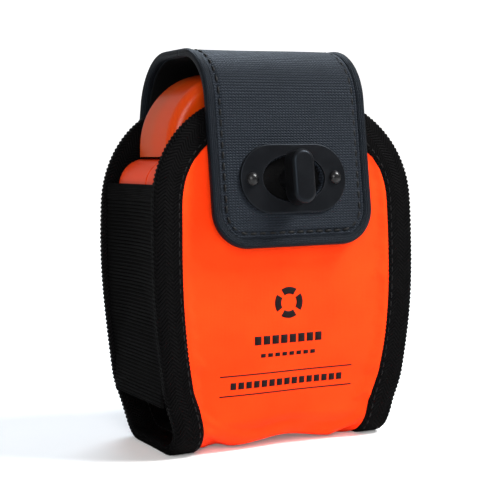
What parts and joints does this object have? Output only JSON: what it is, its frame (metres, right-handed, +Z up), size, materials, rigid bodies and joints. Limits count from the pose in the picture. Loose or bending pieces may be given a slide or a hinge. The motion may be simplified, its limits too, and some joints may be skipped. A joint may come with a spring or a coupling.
{
  "type": "emergency position beacon in belt pouch",
  "caption": "Hand-sized rescue beacon with a clear hinged lid over its antenna and buttons, in a padded belt pouch with a turn-lock flap.",
  "frame": {"origin": "on the surface the pouch stands on, in the middle of the part's whole width and depth", "axes": "+Z up, the flap and its turn-lock face -Y, +X to the right of a viewer who faces the flap"},
  "size_m": [0.0834, 0.0618, 0.1154],
  "materials": {
    "ballistic_fabric": "woven, matte, orange-red",
    "charcoal_fabric": "coarse weave with a faint sheen",
    "flap_trim": "rolled, satin",
    "twill_tape": "herringbone tape, matte",
    "ribbed_elastic": "horizontal ribs, matte",
    "black_webbing": "woven webbing, matte",
    "black_metal": "satin black with worn edges",
    "rivet_metal": "satin black, worn bright on top",
    "spring_steel": "bright",
    "stainless_steel": "bright",
    "orange_shell": "smooth moulded",
    "rose_clear": "clear moulded plastic, glossy",
    "clear_lens": "clear",
    "lamp_yellow": "phosphor",
    "black_rubber": "matte",
    "black_plastic": "fine texture",
    "green_board": "lacquered board",
    "ceramic": "fired ceramic",
    "tin_plate": "tinned sheet",
    "cell_sleeve": "shrink sleeve",
    "red_button": "moulded",
    "grey_button": "moulded"
  },
  "bodies": {
    "pouch": {"front_panel": "ballistic_fabric", "back_panel": "black_webbing", "left_gusset": "ribbed_elastic", "right_gusset": "ribbed_elastic", "left_binding": "twill_tape", "right_binding": "twill_tape", "flap_anchor": "charcoal_fabric", "keeper_plate": "black_metal", "keeper_rivets": "rivet_metal", "belt_loop": "black_webbing"},
    "flap_crown": {"flap_crown": "charcoal_fabric", "flap_crown_trim": "flap_trim"},
    "flap_tongue": {"flap_tongue": "charcoal_fabric", "flap_tongue_trim": "flap_trim", "lock_plate": "black_metal", "lock_back_plate": "black_metal", "lock_rivets": "rivet_metal"},
    "turn_knob": {"turn_knob": "black_metal", "knob_clip": "spring_steel"},
    "beacon": {"front_case": "orange_shell", "rear_case": "orange_shell", "case_seal": "black_rubber", "case_screws": "stainless_steel", "circuit_board": "green_board", "switch_board": "green_board", "tactile_switches": "black_plastic", "gps_antenna": "ceramic", "radio_shield": "tin_plate", "battery_cells": "cell_sleeve", "battery_springs": "spring_steel", "battery_contacts": "spring_steel", "battery_door": "black_plastic", "battery_door_seal": "black_rubber", "strobe_lens": "clear_lens", "strobe_led": "lamp_yellow", "antenna_base": "black_plastic", "antenna_tape": "spring_steel", "button_seals": "black_rubber", "lid_pin": "stainless_steel"},
    "battery_screw": {"battery_screw": "stainless_steel"},
    "on_button": {"on_button": "red_button"},
    "test_button": {"test_button": "grey_button"},
    "lid": {"lid": "rose_clear"}
  },
  "joints": [
    {"name": "flap_open", "type": "hinge", "parent": "pouch", "child": "flap_crown", "pos_m": [0, 0.0256, 0.086], "axis": [-1, 0, 0], "range_deg": [0, 150]},
    {"name": "flap_end_fold", "type": "hinge", "parent": "flap_crown", "child": "flap_tongue", "pos_m": [0, -0.00643, 0.11514], "axis": [-1, 0, 0], "range_deg": [0, 121]},
    {"name": "knob_turn", "type": "hinge", "parent": "flap_tongue", "child": "turn_knob", "pos_m": [0, -0.0225, 0.078], "axis": [0, -0.9925, 0.1219], "range_deg": [0, 90]},
    {"name": "beacon_lift", "type": "slide", "parent": "pouch", "child": "beacon", "axis": [0, 0, 1], "range_m": [0, 0.0501]},
    {"name": "lid_open", "type": "hinge", "parent": "beacon", "child": "lid", "pos_m": [0, 0.0168, 0.0863], "axis": [-1, 0, 0], "range_deg": [0, 101]},
    {"name": "on_button_press", "type": "slide", "parent": "beacon", "child": "on_button", "axis": [0, 0, -1], "range_m": [0, 0.0008], "stiffness_N_per_m": 800},
    {"name": "test_button_press", "type": "slide", "parent": "beacon", "child": "test_button", "axis": [0, 0, -1], "range_m": [0, 0.0008], "stiffness_N_per_m": 800},
    {"name": "battery_screw_turn", "type": "hinge", "parent": "beacon", "child": "battery_screw", "pos_m": [0, 0.0072, 0.013], "axis": [0, 0, 1], "range_deg": [0, 90]}
  ],
  "couplings": [
    {"joint": "flap_end_fold", "follows": "flap_open", "ratio": 0.8},
    {"joint": "beacon_lift", "follows": "flap_open", "m_per_rad": 0.0191},
    {"joint": "lid_open", "follows": "flap_open", "ratio": 0.6667}
  ]
}
